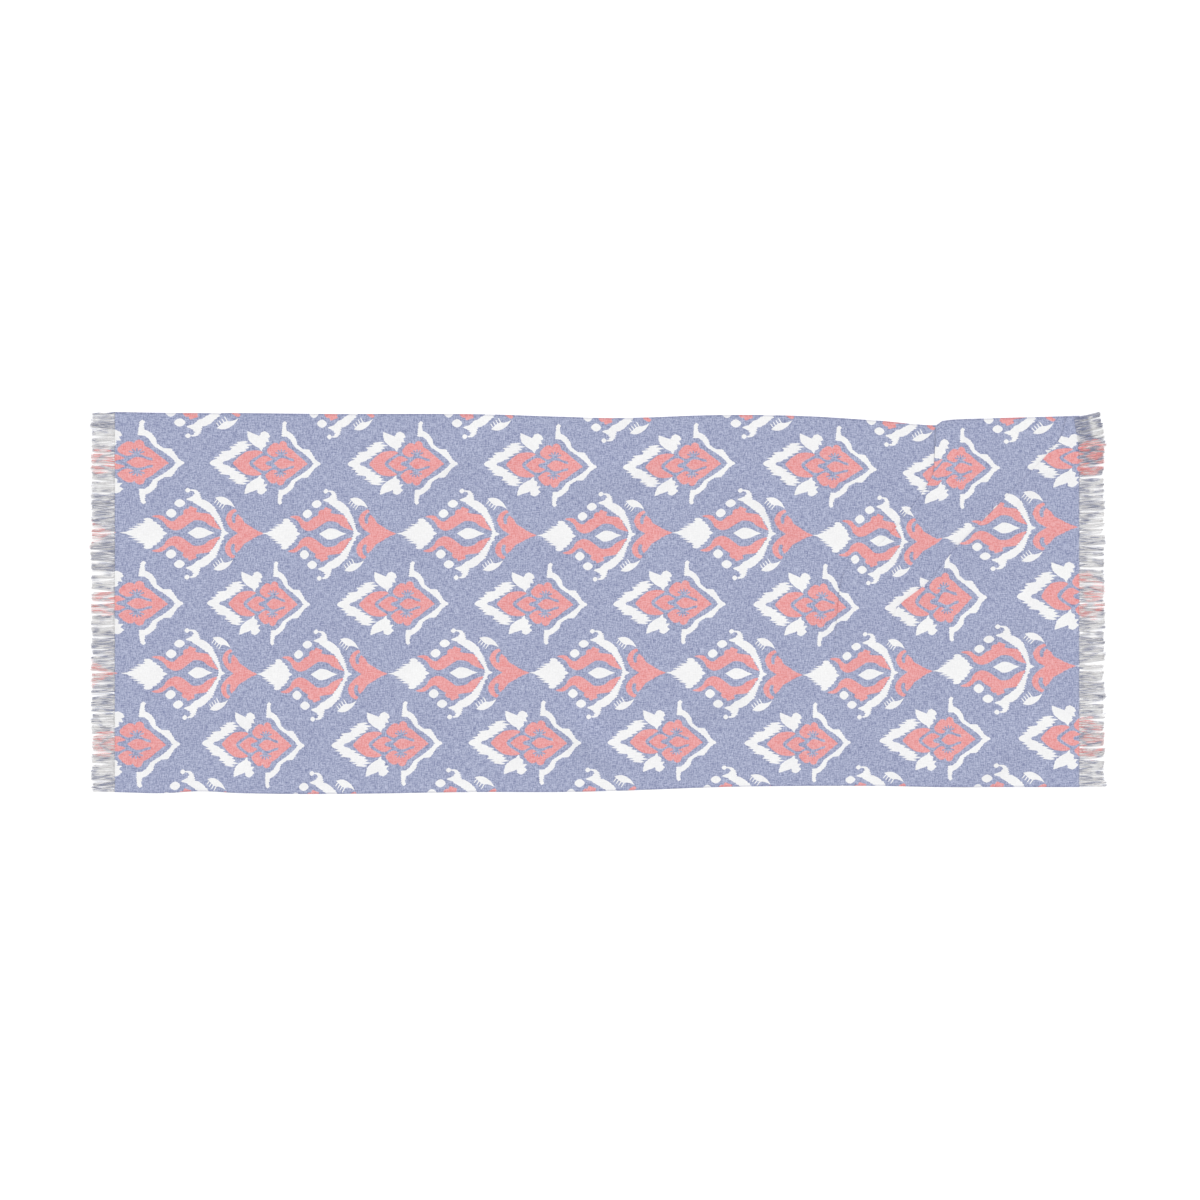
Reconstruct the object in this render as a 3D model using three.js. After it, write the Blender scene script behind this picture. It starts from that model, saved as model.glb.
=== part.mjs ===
// Ikat scarf laid flat, with a frayed fringe at both short ends. Millimetres, +Z up.
// The cloth runs along +X from its left end at x = 0, and y = 0 is its middle line.

import * as THREE from "three";

// The cloth as it was cut, and as it lies
const CLOTH_WIDTH = 684;
const LAID_LENGTH = 1737;
const WALL = 1.2;

// Radius of the cloth's middle surface where a tuck turns, and the shortest straight between its turns
const BEND = 1.0;
const LEAST_BACK = 0.4;
// Bare ledge behind a tuck's turns, before the upper layer starts to come down
const LEDGE = 2;

// Places of the two long edges, measured from the middle line, in rows along the scarf
const EDGES = [
  { along: 0, upper: 342, lower: -342 },
  { along: 85, upper: 340.5, lower: -344 },
  { along: 155, upper: 340, lower: -340.5 },
  { along: 230, upper: 340, lower: -344 },
  { along: 380, upper: 338.5, lower: -345.5 },
  { along: 650, upper: 338, lower: -342 },
  { along: 800, upper: 333.5, lower: -342 },
  { along: 910, upper: 331, lower: -339.5 },
  { along: 1090, upper: 336.5, lower: -333 },
  { along: 1230, upper: 335, lower: -331 },
  { along: 1380, upper: 326, lower: -331 },
  { along: 1479, upper: 318, lower: -333 },
  { along: 1491, upper: 326, lower: -333 },
  { along: 1560, upper: 330, lower: -333 },
  { along: 1737, upper: 335, lower: -333 },
];

// Each tuck is a flat pleat: the cloth runs under it, turns back, and runs on above it.
// fold is where the upper layer starts, turn how far the cloth turns over there in degrees, and
// back the length of the layer between the turns. settle is the length over which the top comes down.
const TUCKS = [
  {
    settle: 90,
    rows: [
      { across: -342, fold: 1288, turn: 0, back: 0.4 },
      { across: -130, fold: 1293, turn: 0, back: 0.4 },
      { across: -70, fold: 1298, turn: 70, back: 0.4 },
      { across: 0, fold: 1304, turn: 150, back: 0.6 },
      { across: 42, fold: 1310, turn: 180, back: 1.6 },
      { across: 70, fold: 1325, turn: 180, back: 3 },
      { across: 119, fold: 1387, turn: 180, back: 4.4 },
      { across: 242, fold: 1471, turn: 180, back: 8 },
      { across: 287, fold: 1477, turn: 180, back: 10.5 },
      { across: 342, fold: 1479, turn: 180, back: 17 },
    ],
  },
  {
    settle: 60,
    rows: [
      { across: -342, fold: 1378, turn: 0, back: 0.4 },
      { across: -60, fold: 1398, turn: 0, back: 0.4 },
      { across: -7, fold: 1410, turn: 120, back: 0.5 },
      { across: 35, fold: 1455, turn: 180, back: 2 },
      { across: 65, fold: 1484, turn: 180, back: 4 },
      { across: 103, fold: 1516, turn: 180, back: 4.4 },
      { across: 183, fold: 1594, turn: 180, back: 4.4 },
      { across: 294, fold: 1698, turn: 180, back: 4.4 },
      { across: 342, fold: 1715, turn: 180, back: 4.4 },
    ],
  },
];

// Low soft swells, where the cloth doesn't touch the table
const SWELLS = [
  { along: 110, across: -215, reach: 150, spread: 48, height: 3.5, turn: 42 },
  { along: 190, across: 215, reach: 120, spread: 40, height: 2.2, turn: 75 },
  { along: 560, across: -165, reach: 135, spread: 42, height: 3.0, turn: 55 },
  { along: 620, across: 265, reach: 115, spread: 38, height: 2.8, turn: 35 },
  { along: 850, across: -245, reach: 150, spread: 45, height: 3.8, turn: -40 },
  { along: 900, across: 235, reach: 160, spread: 50, height: 3.2, turn: 15 },
  { along: 1090, across: -170, reach: 150, spread: 44, height: 3.5, turn: 27 },
  { along: 1180, across: 170, reach: 130, spread: 42, height: 2.6, turn: -35 },
  { along: 1575, across: -45, reach: 130, spread: 40, height: 3.2, turn: 33 },
  { along: 1590, across: -270, reach: 130, spread: 42, height: 3.0, turn: 36 },
];

// Stations of the cloth's grid, counted over each stretch
const STATIONS_ACROSS = 26;
const STATIONS_TO_FIRST_TUCK = 34;
const STATIONS_BETWEEN_TUCKS = 7;
const STATIONS_TO_END = 9;
const BEND_STEPS = 4;
// Spacing of a tuck's stations where it has opened out flat
const OPEN_SPACING = 1.5;

// The fringe: locks of loose threads on the narrow strip where they leave the cloth
const SEAM_GAP = 0.3;
const STRIP_DEPTH = 4;
const LOCK_COUNT = 66;
// Share of each lock's room that the lock fills, and how much that varies
const LOCK_SHARE = 0.74;
const LOCK_SHARE_SPREAD = 0.12;
const LOCK_RISE = 2.2;
const LOCK_RISE_SPREAD = 0.4;
const LOCK_CLEARANCE = 0.25;
const LOCK_LEAN_SPREAD = 2;
const LOCK_LENGTH_SPREAD = 2.5;
// Phases that keep neighbouring locks, and the kinds of unevenness of one lock, unlike each other
const LOCK_PHASE = 12.99;
const KIND_PHASE = 78.23;
// Stations along a lock beyond the strip, out to its tip
const LOCK_STATIONS = [
  { share: 0.55, width: 0.9, thickness: 0.85 },
  { share: 1, width: 0.45, thickness: 0.6 },
];

// Each end's fringe. Near its top corner the right one leans towards the upper edge, in degrees.
const LEFT_FRINGE = {
  endAlong: 0,
  outward: -1,
  lockLength: 36,
  lean: [
    { across: -342, lean: -1 },
    { across: 342, lean: 0 },
  ],
};
const RIGHT_FRINGE = {
  endAlong: LAID_LENGTH,
  outward: 1,
  lockLength: 43,
  lean: [
    { across: -342, lean: 0 },
    { across: 90, lean: 1 },
    { across: 225, lean: 5 },
    { across: 285, lean: 9 },
    { across: 342, lean: 14 },
  ],
};

// A table's column at any place: a smooth curve through its rows
function lookUp(rows, key, column, place) {
  let row = 0;
  while (row < rows.length - 2 && place > rows[row + 1][key]) row += 1;
  const slope = (k) => {
    const before = rows[Math.max(k - 1, 0)];
    const after = rows[Math.min(k + 1, rows.length - 1)];
    return (after[column] - before[column]) / (after[key] - before[key]);
  };
  const from = rows[row];
  const to = rows[row + 1];
  const step = to[key] - from[key];
  const t = THREE.MathUtils.clamp((place - from[key]) / step, 0, 1);
  const rise = to[column] - from[column];
  const early = slope(row) * step;
  const late = slope(row + 1) * step;
  const square = 3 * rise - 2 * early - late;
  const cube = early + late - 2 * rise;
  return from[column] + early * t + square * t ** 2 + cube * t ** 3;
}

function edgeAt(column, along) {
  return lookUp(EDGES, "along", column, along);
}

// One tuck as it is at one place across the cloth
function tuckAt(tuck, across) {
  const column = (name, place) => lookUp(tuck.rows, "across", name, place);
  const fold = column("fold", across);
  const turn = THREE.MathUtils.degToRad(THREE.MathUtils.clamp(column("turn", across), 0, 180));
  const back = Math.max(LEAST_BACK, column("back", across));
  const slant = Math.hypot(1, (column("fold", across + 1) - column("fold", across - 1)) / 2);
  const length = 2 * BEND * turn + back;
  const advance = 2 * BEND * slant * Math.sin(turn) + back * Math.cos(turn);
  const rise = 2 * BEND * (1 - Math.cos(turn)) + back * Math.sin(turn);
  const start = fold - advance;
  return { fold, turn, back, slant, length, rise, start, hidden: length - advance, settle: tuck.settle };
}

// Where the cloth goes at a distance along it: its place, its height, and its place with the tuck undone
function passTuck(tuck, distance) {
  const run = distance - tuck.start;
  if (run <= 0) return { flat: Math.min(distance, tuck.fold), x: distance, z: 0 };
  if (run >= tuck.length) {
    const x = distance - tuck.hidden;
    const ledge = Math.max(tuck.start, tuck.fold) + tuck.slant * BEND + LEDGE;
    const settled = THREE.MathUtils.smoothstep(x, ledge, ledge + tuck.settle);
    return { flat: x, x, z: tuck.rise * (1 - settled) };
  }
  const arc = BEND * tuck.turn;
  const early = Math.min(run, arc) / BEND;
  const straight = THREE.MathUtils.clamp(run - arc, 0, tuck.back);
  const late = tuck.turn - Math.max(run - arc - tuck.back, 0) / BEND;
  const sines = Math.sin(early) + Math.sin(tuck.turn) - Math.sin(late);
  const cosines = 1 - Math.cos(early) + Math.cos(late) - Math.cos(tuck.turn);
  const x = tuck.start + BEND * tuck.slant * sines + straight * Math.cos(tuck.turn);
  const z = BEND * cosines + straight * Math.sin(tuck.turn);
  return { flat: Math.min(x, tuck.fold), x, z };
}

function bell(q) {
  return Math.abs(q) < 1 ? Math.cos((q * Math.PI) / 2) ** 2 : 0;
}

function swellHeight(x, y) {
  let height = 0;
  for (const swell of SWELLS) {
    const turn = THREE.MathUtils.degToRad(swell.turn);
    const dx = x - swell.along;
    const dy = y - swell.across;
    const lengthwise = (dx * Math.cos(turn) + dy * Math.sin(turn)) / swell.reach;
    const crosswise = (dy * Math.cos(turn) - dx * Math.sin(turn)) / swell.spread;
    height += swell.height * bell(lengthwise) * bell(crosswise);
  }
  return height;
}

// A point of the cloth's middle surface
function drape(distance, across, tucks) {
  const first = passTuck(tucks[0], distance);
  const second = passTuck(tucks[1], first.x);
  const flat = Math.min(first.flat, second.flat);
  const share = across / CLOTH_WIDTH + 0.5;
  const y = THREE.MathUtils.lerp(edgeAt("lower", flat), edgeAt("upper", flat), share);
  return new THREE.Vector3(second.x, y, WALL / 2 + first.z + second.z + swellHeight(second.x, y));
}

// Distances along the cloth of the stations through one tuck, spread apart where it opens out
function tuckStations(tuck, taken) {
  const stations = [];
  const arc = BEND * tuck.turn;
  const open = (1 - tuck.turn / Math.PI) ** 2;
  for (const from of [tuck.start + taken, tuck.start + taken + arc + tuck.back]) {
    for (let k = 0; k <= BEND_STEPS; k += 1) {
      const spread = (stations.length - BEND_STEPS - 0.5) * OPEN_SPACING * open;
      stations.push(from + (k / BEND_STEPS) * arc + spread);
    }
  }
  return stations;
}

function evenStations(from, to, count) {
  return Array.from({ length: count }, (_, k) => THREE.MathUtils.lerp(from, to, (k + 1) / (count + 1)));
}

function stationsAlong(tucks) {
  const first = tuckStations(tucks[0], 0);
  const second = tuckStations(tucks[1], tucks[0].hidden);
  const end = LAID_LENGTH + tucks[0].hidden + tucks[1].hidden;
  return [
    0,
    ...evenStations(0, first[0], STATIONS_TO_FIRST_TUCK),
    ...first,
    ...evenStations(first.at(-1), second[0], STATIONS_BETWEEN_TUCKS),
    ...second,
    ...evenStations(second.at(-1), end, STATIONS_TO_END),
    end,
  ];
}

// Mean direction of a row or column of the grid at one of its points
function directionAt(before, here, after) {
  const direction = new THREE.Vector3();
  if (after) direction.add(after.clone().sub(here).normalize());
  if (before) direction.add(here.clone().sub(before).normalize());
  return direction.normalize();
}

// From the middle surface to the upper one at a grid point, lengthened where the cloth bends there
function halfWall(grid, j, i) {
  const here = grid[j][i];
  const before = grid[j][i - 1];
  const after = grid[j][i + 1];
  const along = directionAt(before, here, after);
  const over = directionAt(grid[j - 1]?.[i], here, grid[j + 1]?.[i]);
  const out = along.cross(over).normalize();
  const segment = directionAt(after ? null : before, here, after);
  const miter = 1 / Math.sqrt(1 - segment.dot(out) ** 2);
  return out.multiplyScalar((WALL / 2) * miter);
}

// The wall: the middle surface moved out by half its thickness on both sides, closed round its rim
function clothGeometry() {
  const grid = [];
  for (let j = 0; j <= STATIONS_ACROSS; j += 1) {
    const across = (j / STATIONS_ACROSS - 0.5) * CLOTH_WIDTH;
    const tucks = TUCKS.map((tuck) => tuckAt(tuck, across));
    grid.push(stationsAlong(tucks).map((distance) => drape(distance, across, tucks)));
  }
  const rows = grid.length;
  const columns = grid[0].length;
  const positions = [];
  for (const side of [1, -1]) {
    for (let j = 0; j < rows; j += 1) {
      for (let i = 0; i < columns; i += 1) {
        const point = grid[j][i].clone().addScaledVector(halfWall(grid, j, i), side);
        positions.push(point.x, point.y, point.z);
      }
    }
  }
  const index = [];
  const quad = (a, b, c, d) => index.push(a, b, c, a, c, d);
  const upper = (j, i) => j * columns + i;
  const lower = (j, i) => rows * columns + upper(j, i);
  for (let j = 0; j < rows - 1; j += 1) {
    for (let i = 0; i < columns - 1; i += 1) {
      quad(upper(j, i), upper(j, i + 1), upper(j + 1, i + 1), upper(j + 1, i));
      quad(lower(j, i), lower(j + 1, i), lower(j + 1, i + 1), lower(j, i + 1));
    }
    quad(lower(j, 0), upper(j, 0), upper(j + 1, 0), lower(j + 1, 0));
    quad(lower(j + 1, columns - 1), upper(j + 1, columns - 1), upper(j, columns - 1), lower(j, columns - 1));
  }
  for (let i = 0; i < columns - 1; i += 1) {
    quad(lower(0, i + 1), upper(0, i + 1), upper(0, i), lower(0, i));
    quad(lower(rows - 1, i), upper(rows - 1, i), upper(rows - 1, i + 1), lower(rows - 1, i + 1));
  }
  return closedGeometry(positions, index);
}

function closedGeometry(positions, index) {
  const geometry = new THREE.BufferGeometry();
  geometry.setAttribute("position", new THREE.Float32BufferAttribute(positions, 3));
  geometry.setIndex(index);
  geometry.computeVertexNormals();
  return geometry;
}

// An uneven number between -1 and 1 that is the same each time for the same lock
function uneven(lock, kind) {
  return Math.sin(LOCK_PHASE * lock + KIND_PHASE * kind + Math.sin(lock));
}

// Ring of four corners through one lock, at a share of its length
function lockRing(lock, station, spec) {
  const { share, width, thickness } = station;
  const long = spec.lockLength + LOCK_LENGTH_SPREAD * uneven(lock.number, 1);
  const degrees = lock.lean + LOCK_LEAN_SPREAD * uneven(lock.number, 2);
  const lean = Math.tan(THREE.MathUtils.degToRad(degrees));
  const rise = LOCK_RISE * (1 + LOCK_RISE_SPREAD * uneven(lock.number, 3));
  const x = lock.x + spec.outward * share * long;
  const y = lock.middle + lean * share * long;
  const half = (lock.width * width) / 2;
  const low = LOCK_CLEARANCE * share + rise * Math.sin(share * Math.PI);
  const high = low + WALL * thickness;
  return [[x, y - half, low], [x, y + half, low], [x, y + half, high], [x, y - half, high]];
}

// A comb: the strip along the cloth's short end, with a four-sided lock growing out of each tooth
function fringeGeometry(spec) {
  const from = edgeAt("lower", spec.endAlong);
  const to = edgeAt("upper", spec.endAlong);
  const pitch = (to - from) / LOCK_COUNT;
  const inner = spec.endAlong + spec.outward * SEAM_GAP;
  const outer = inner + spec.outward * STRIP_DEPTH;
  const positions = [];
  const index = [];
  const add = (point) => positions.push(...point) / 3 - 1;
  const quad = (a, b, c, d) => index.push(...(spec.outward > 0 ? [a, b, c, a, c, d] : [a, c, b, a, d, c]));
  const section = (y) => [[inner, y, 0], [inner, y, WALL], [outer, y, WALL], [outer, y, 0]].map(add);
  const strip = (a, b) => {
    quad(a[0], a[1], b[1], b[0]);
    quad(a[1], a[2], b[2], b[1]);
    quad(a[3], a[0], b[0], b[3]);
  };
  const first = section(from);
  quad(first[3], first[2], first[1], first[0]);
  let last = first;
  for (let number = 0; number < LOCK_COUNT; number += 1) {
    const middle = from + (number + 0.5) * pitch;
    const width = pitch * (LOCK_SHARE + LOCK_SHARE_SPREAD * uneven(number, 4));
    const lock = { number, x: outer, middle, width, lean: lookUp(spec.lean, "across", "lean", middle) };
    const start = section(middle - width / 2);
    const end = section(middle + width / 2);
    strip(last, start);
    quad(last[2], last[3], start[3], start[2]);
    strip(start, end);
    let ring = [start[3], end[3], end[2], start[2]];
    for (const station of LOCK_STATIONS) {
      const next = lockRing(lock, station, spec).map(add);
      for (let k = 0; k < ring.length; k += 1) {
        const turn = (k + 1) % ring.length;
        quad(ring[k], ring[turn], next[turn], next[k]);
      }
      ring = next;
    }
    quad(ring[0], ring[1], ring[2], ring[3]);
    last = end;
  }
  const final = section(to);
  strip(last, final);
  quad(last[2], last[3], final[3], final[2]);
  quad(final[0], final[1], final[2], final[3]);
  return closedGeometry(positions, index);
}

function cloth() {
  const material = new THREE.MeshStandardMaterial({ color: 0xa6adc8, roughness: 0.9, metalness: 0 });
  return named("cloth", clothGeometry(), material);
}

function fringe(name, spec) {
  const material = new THREE.MeshStandardMaterial({ color: 0xd2ced6, roughness: 0.95, metalness: 0 });
  return named(name, fringeGeometry(spec), material);
}

function named(name, geometry, material) {
  const mesh = new THREE.Mesh(geometry, material);
  mesh.name = name;
  return mesh;
}

const scarf = new THREE.Group();
scarf.add(cloth());
scarf.add(fringe("fringe_left", LEFT_FRINGE));
scarf.add(fringe("fringe_right", RIGHT_FRINGE));

// The origin is under the middle of the whole scarf
const reach = new THREE.Box3().setFromObject(scarf);
const middle = reach.getCenter(new THREE.Vector3());
scarf.position.set(-middle.x, -middle.y, -reach.min.z);

export default scarf;
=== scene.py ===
"""Ikat scarf laid flat on a pale table, seen from straight above.

The tables are in millimetres, with the scarf's left end at along = 0 and its middle line at across = 0.
Everything in Blender is in metres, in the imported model's own frame.
"""

import math
import random

import bpy
import numpy as np
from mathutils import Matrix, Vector
from mathutils.geometry import delaunay_2d_cdt


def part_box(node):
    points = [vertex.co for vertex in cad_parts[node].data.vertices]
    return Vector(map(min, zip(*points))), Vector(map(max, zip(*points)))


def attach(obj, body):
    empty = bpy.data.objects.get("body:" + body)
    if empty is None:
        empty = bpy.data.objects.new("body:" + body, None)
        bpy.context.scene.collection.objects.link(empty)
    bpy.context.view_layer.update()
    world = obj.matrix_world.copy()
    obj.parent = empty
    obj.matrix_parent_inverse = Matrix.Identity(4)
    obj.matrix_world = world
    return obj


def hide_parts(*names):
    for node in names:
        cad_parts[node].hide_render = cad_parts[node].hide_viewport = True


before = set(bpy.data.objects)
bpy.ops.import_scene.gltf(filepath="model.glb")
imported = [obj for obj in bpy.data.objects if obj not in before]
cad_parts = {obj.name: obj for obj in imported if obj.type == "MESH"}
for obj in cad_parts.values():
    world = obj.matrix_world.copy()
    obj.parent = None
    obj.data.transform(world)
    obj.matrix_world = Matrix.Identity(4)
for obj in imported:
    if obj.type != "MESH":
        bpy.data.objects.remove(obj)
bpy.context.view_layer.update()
MM = 0.001


def table(names, *rows):
    """A table's rows, each as a dict of its named columns."""
    return [dict(zip(names.split(), row)) for row in rows]


# The cloth as it lies, its cut in metres, its thickness, and its hem, which fades in from the edge
CLOTH_WIDTH = 684
HALF_WIDTH = CLOTH_WIDTH / 2
LAID_LENGTH = 1737
SHELL = 0.4
HEM_WIDTH = 3.5
HEM_EXTRA = 0.45
HEM_FADE = (3.2, 2.2)
SHARP_EDGE = math.radians(50)

# The pleats' turns: their radius, the shortest layer between two, how far past a fold the top starts to
# come down, the share of the solid's height that thin cloth keeps, and more than both pleats take in
BEND = 1.0
LEAST_BACK = 0.4
LEDGE = 2
PRESSED = 0.6
MOST_TAKEN_IN = 60

# Places of the two long edges, measured from the middle line
EDGE_SAMPLES = 400
EDGES = table(
    "along upper lower",
    (0, 342, -342),
    (85, 340.5, -344),
    (155, 340, -340.5),
    (230, 340, -344),
    (380, 338.5, -345.5),
    (650, 338, -342),
    (800, 333.5, -342),
    (910, 331, -339.5),
    (1090, 336.5, -333),
    (1230, 335, -331),
    (1380, 326, -331),
    (1479, 318, -333),
    (1491, 326, -333),
    (1560, 330, -333),
    (1737, 335, -333),
)

# The two pleats: where the upper layer's folded edge lies, how far the cloth turns over in degrees,
# the length of the layer between the turns, and the length over which the top comes down
TUCKS = [
    dict(settle=90, rows=table(
        "across fold turn back",
        (-342, 1288, 0, 0.4),
        (-130, 1293, 0, 0.4),
        (-70, 1298, 70, 0.4),
        (0, 1304, 150, 0.6),
        (42, 1310, 180, 1.6),
        (70, 1325, 180, 3),
        (119, 1387, 180, 4.4),
        (242, 1471, 180, 8),
        (287, 1477, 180, 10.5),
        (342, 1479, 180, 17),
    )),
    dict(settle=60, rows=table(
        "across fold turn back",
        (-342, 1378, 0, 0.4),
        (-60, 1398, 0, 0.4),
        (-7, 1410, 120, 0.5),
        (35, 1455, 180, 2),
        (65, 1484, 180, 4),
        (103, 1516, 180, 4.4),
        (183, 1594, 180, 4.4),
        (294, 1698, 180, 4.4),
        (342, 1715, 180, 4.4),
    )),
]

# Low soft swells: the solid's own, then the finer creases of the thin cloth
SWELLS = table(
    "along across reach spread height turn",
    (110, -215, 150, 48, 3.5, 42),
    (190, 215, 120, 40, 2.2, 75),
    (560, -165, 135, 42, 3.0, 55),
    (620, 265, 115, 38, 2.8, 35),
    (850, -245, 150, 45, 3.8, -40),
    (900, 235, 160, 50, 3.2, 15),
    (1090, -170, 150, 44, 3.5, 27),
    (1180, 170, 130, 42, 2.6, -35),
    (1575, -45, 130, 40, 3.2, 33),
    (1590, -270, 130, 42, 3.0, 36),
)
CREASES = table(
    "along across reach spread height turn",
    (1405, 255, 85, 13, 1.3, 66),
    (1350, 60, 70, 12, 1.2, 58),
    (1265, -20, 90, 14, 1.1, 82),
    (1385, -60, 100, 15, 1.2, 50),
    (1500, 170, 95, 13, 1.2, 46),
    (1625, 180, 80, 12, 1.1, 45),
    (1672, 262, 60, 11, 1.1, 52),
    (1210, -240, 90, 15, 1.0, 38),
    (760, 120, 110, 16, 1.0, 62),
    (430, -60, 110, 16, 0.9, 50),
    (340, 150, 90, 14, 0.8, -70),
    (700, -80, 100, 15, 0.9, -48),
)

# What each pleat hides of the print, along the cloth and across it
HIDDEN_PRINT = [
    table(
        "across along_lost across_lost",
        (-342, 0, 0),
        (-70, 0, 0),
        (0, 4, 0),
        (60, 2, 0),
        (119, 1, 0),
        (158, 5, 0),
        (242, 17, 0),
        (342, 30, 0),
    ),
    table(
        "across along_lost across_lost",
        (-342, 0, 0),
        (-60, 1, 0),
        (-9, 4, 7),
        (35, 14, 18),
        (110, 18, 21),
        (183, 17, 20),
        (250, 11, 15),
        (305, 11, 1),
        (342, 11, 0),
    ),
]

# Rows of motifs by their places across the cloth. On the laid cloth each row wanders a little from
# its even place: SLIDES says how far to the right, and WAVES how far towards the upper edge.
ROW_AXES = dict(top=335, high=250, upper=122, middle=-2, lower=-130, low=-254, bottom=-335)
SLIDES = table(
    "along top high upper middle lower low bottom",
    (0, -18, -20, -12, -16, -8, -14, -16),
    (50, -1, -3, 4, -4, 4, -4, -6),
    (120, 11, 9, 11, 7, 11, 1, 1),
    (240, 23, 24, 9, 12, -1, -2, -5),
    (344, 26, 27, 9, 8, -6, -2, -7),
    (460, 26, 26, 13, 8, -3, -3, -6),
    (592, 26, 26, 13, 9, 0, -2, -4),
    (841, 26, 27, 12, 10, -1, -1, -4),
    (940, 27, 30, 10, 12, -1, 2, 0),
    (1084, 31, 33, 14, 16, 0, -1, -5),
    (1220, 39, 38, 16, 18, -2, 4, -2),
    (1328, 46, 44, 17, 16, -5, -3, -7),
    (1440, 51, 36, 13, 7, -5, 2, -2),
    (1480, 47, 40, 13, 5, -6, -1, -5),
    (1540, 43, 34, 13, 3, -7, -3, -7),
    (1600, 41, 36, 12, 8, -8, 1, -6),
    (1660, 42, 37, 10, 16, -13, 3, -4),
    (1740, 47, 43, 19, 17, -5, 5, 6),
)
WAVES = table(
    "along top high upper middle lower low bottom",
    (0, 4, 2, 3, 0, 2, -1, -4),
    (350, 3, 2, 4, 1, 3, -1, -3),
    (600, 4, 2, 4, 1, 4, 1, 1),
    (850, 3, 2, 3, 2, 5, 1, 0),
    (960, 2, 1, 7, 3, 3, 0, 2),
    (1084, 5, 3, 3, -4, -3, -6, -1),
    (1240, 3, 1, 0, -6, -7, -12, -6),
    (1335, 1, 0, -5, -8, -6, -7, -4),
    (1400, 1, -2, -4, -5, 1, -2, 0),
    (1480, 1, 1, 1, 1, 8, 0, -1),
    (1577, 0, 0, -5, 3, 11, 2, 0),
    (1740, 2, 1, -6, 2, 12, 2, 1),
)

# Each ink's mean colour, and how far its light and dark yarns lie from it as a share
GROUND = dict(mean=(0.308, 0.336, 0.474), spread=(0.44, 0.415, 0.30))
CORAL = dict(mean=(0.700, 0.302, 0.302), spread=(0.08, 0.32, 0.32))
WHITE = dict(mean=(0.765, 0.765, 0.765), spread=(0.05, 0.05, 0.05))
BARE_THREAD = (0.760, 0.745, 0.735)
THREAD_GROUND = (0.235, 0.255, 0.370)
THREAD_CORAL = (0.760, 0.270, 0.270)
UNDER_FADE = 0.35
HEM_SHADE = (0.84, 0.84, 0.88)

# Repeats a metre along and across: slubs that run along and across, the grain of the yarns, soft clouds,
# and the flecks of loose threads. The clouds darken the cloth in soft patches: partly painted shade of
# low swells, partly the cloth's uneven tone
SLUB_ALONG = (95, 640, 1)
SLUB_ACROSS = (640, 95, 1)
GRAIN = (390, 390, 1)
SLUB_RANGE = (1.2, 1.8)
CLOUDS = (16, 16, 1)
CLOUD_RANGE = (0.3, 0.7)
# The clouds' tint and how much of it they give: painted shade of low swells, with some uneven tone
CLOUD_TONE_AND_SHADE_TINT = (0.92, 0.91, 0.94)
CLOUD_TONE_AND_SHADE_SHARE = 0.4
FLECKS = (300, 500, 1)
FLECK_RANGE = (0.35, 0.65)
FLECK_DARK = (0.80, 0.80, 0.84)
FLECK_LIGHT = (1.12, 1.12, 1.10)

# Relief and gloss of the cloth and of the loose threads: yarns a metre, how uneven they are, how strong
# the relief is and how deep in millimetres
WEAVE = dict(scale=520.0, uneven=1.5, strength=0.4, depth=0.3)
TWIST = dict(scale=700.0, uneven=1.0, strength=0.3, depth=0.2, turn=math.radians(30))
CLOTH_ROUGHNESS = (0.82, 0.95)
THREAD_ROUGHNESS = 0.9
SHEEN = 0.08

# Rows of motifs by the place of their axis across the cloth, each column's right tip and length, and how
# long each motif is in the chart and how much taller the lozenge is printed
LOZENGE_AXES = (250, -2, -254)
MEDALLION_AXES = (376, 122, -130, -381)
LOZENGES = table(
    "tip length",
    (117, 197),
    (344, 187),
    (592, 199),
    (841, 202),
    (1084, 197),
    (1328, 195),
    (1577, 199),
    (1824, 199),
)
MEDALLIONS = table(
    "tip length",
    (4, 240),
    (253, 238),
    (487, 230),
    (740, 246),
    (986, 239),
    (1234, 242),
    (1472, 232),
    (1729, 251),
    (1975, 240),
)
LOZENGE_LENGTH = 196.5
MEDALLION_LENGTH = 237
LOZENGE_HEIGHT = 1.02

# Longest side of an outline where the cloth is pleated and where it is plain, and the shape of the spikes
# on steep sides: their pitch, where their tips' corners lie, and how much their lengths vary
PLEATED_FROM = 1230
FINE_STEP = 6
PLAIN_STEP = 20
SPIKE_PITCH = 3.5
SPIKE_CORNERS = (0.3, 0.7)
SPIKE_LENGTHS = (0.1, 1)
SPIKE_SLANT = (0.7, 1)
SPIKE_DIP = (0, 0.2)

# The net under the print: its step and rows, its rows along the hem by their distance from the edge, the
# lines along each turn of a pleat, and how near to such a line or to the end a point may lie
NET_STEP = 15.0
NET_ROWS = 52
NET_MARGIN = 12
HEM_LINES = (0, 1.8, 4)
TURN_STEPS = 6
TURN_SPREAD = 1.2
LINE_CLEARANCE = 4
END_CLEARANCE = 5
NET_TOLERANCE = 1e-4

# The second map, where nothing overlaps: its scale, its first corner and how far up the underside lies
BAKE_LENGTH = 1.06 * LAID_LENGTH
BAKE_CORNER = (0.005, 0.24)
BAKE_UNDERSIDE = 0.45


def look_up(rows, key, column, place):
    """A table's column at any places: a smooth curve through its rows."""
    keys = np.array([row[key] for row in rows], float)
    values = np.array([row[column] for row in rows], float)
    last = len(keys) - 1
    before = np.maximum(np.arange(last + 1) - 1, 0)
    after = np.minimum(np.arange(last + 1) + 1, last)
    slopes = (values[after] - values[before]) / (keys[after] - keys[before])
    place = np.asarray(place, float)
    row = np.clip(np.searchsorted(keys, place) - 1, 0, last - 1)
    step = keys[row + 1] - keys[row]
    t = np.clip((place - keys[row]) / step, 0, 1)
    rise = values[row + 1] - values[row]
    early = slopes[row] * step
    late = slopes[row + 1] * step
    square = 3 * rise - 2 * early - late
    cube = early + late - 2 * rise
    return values[row] + early * t + square * t**2 + cube * t**3


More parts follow.
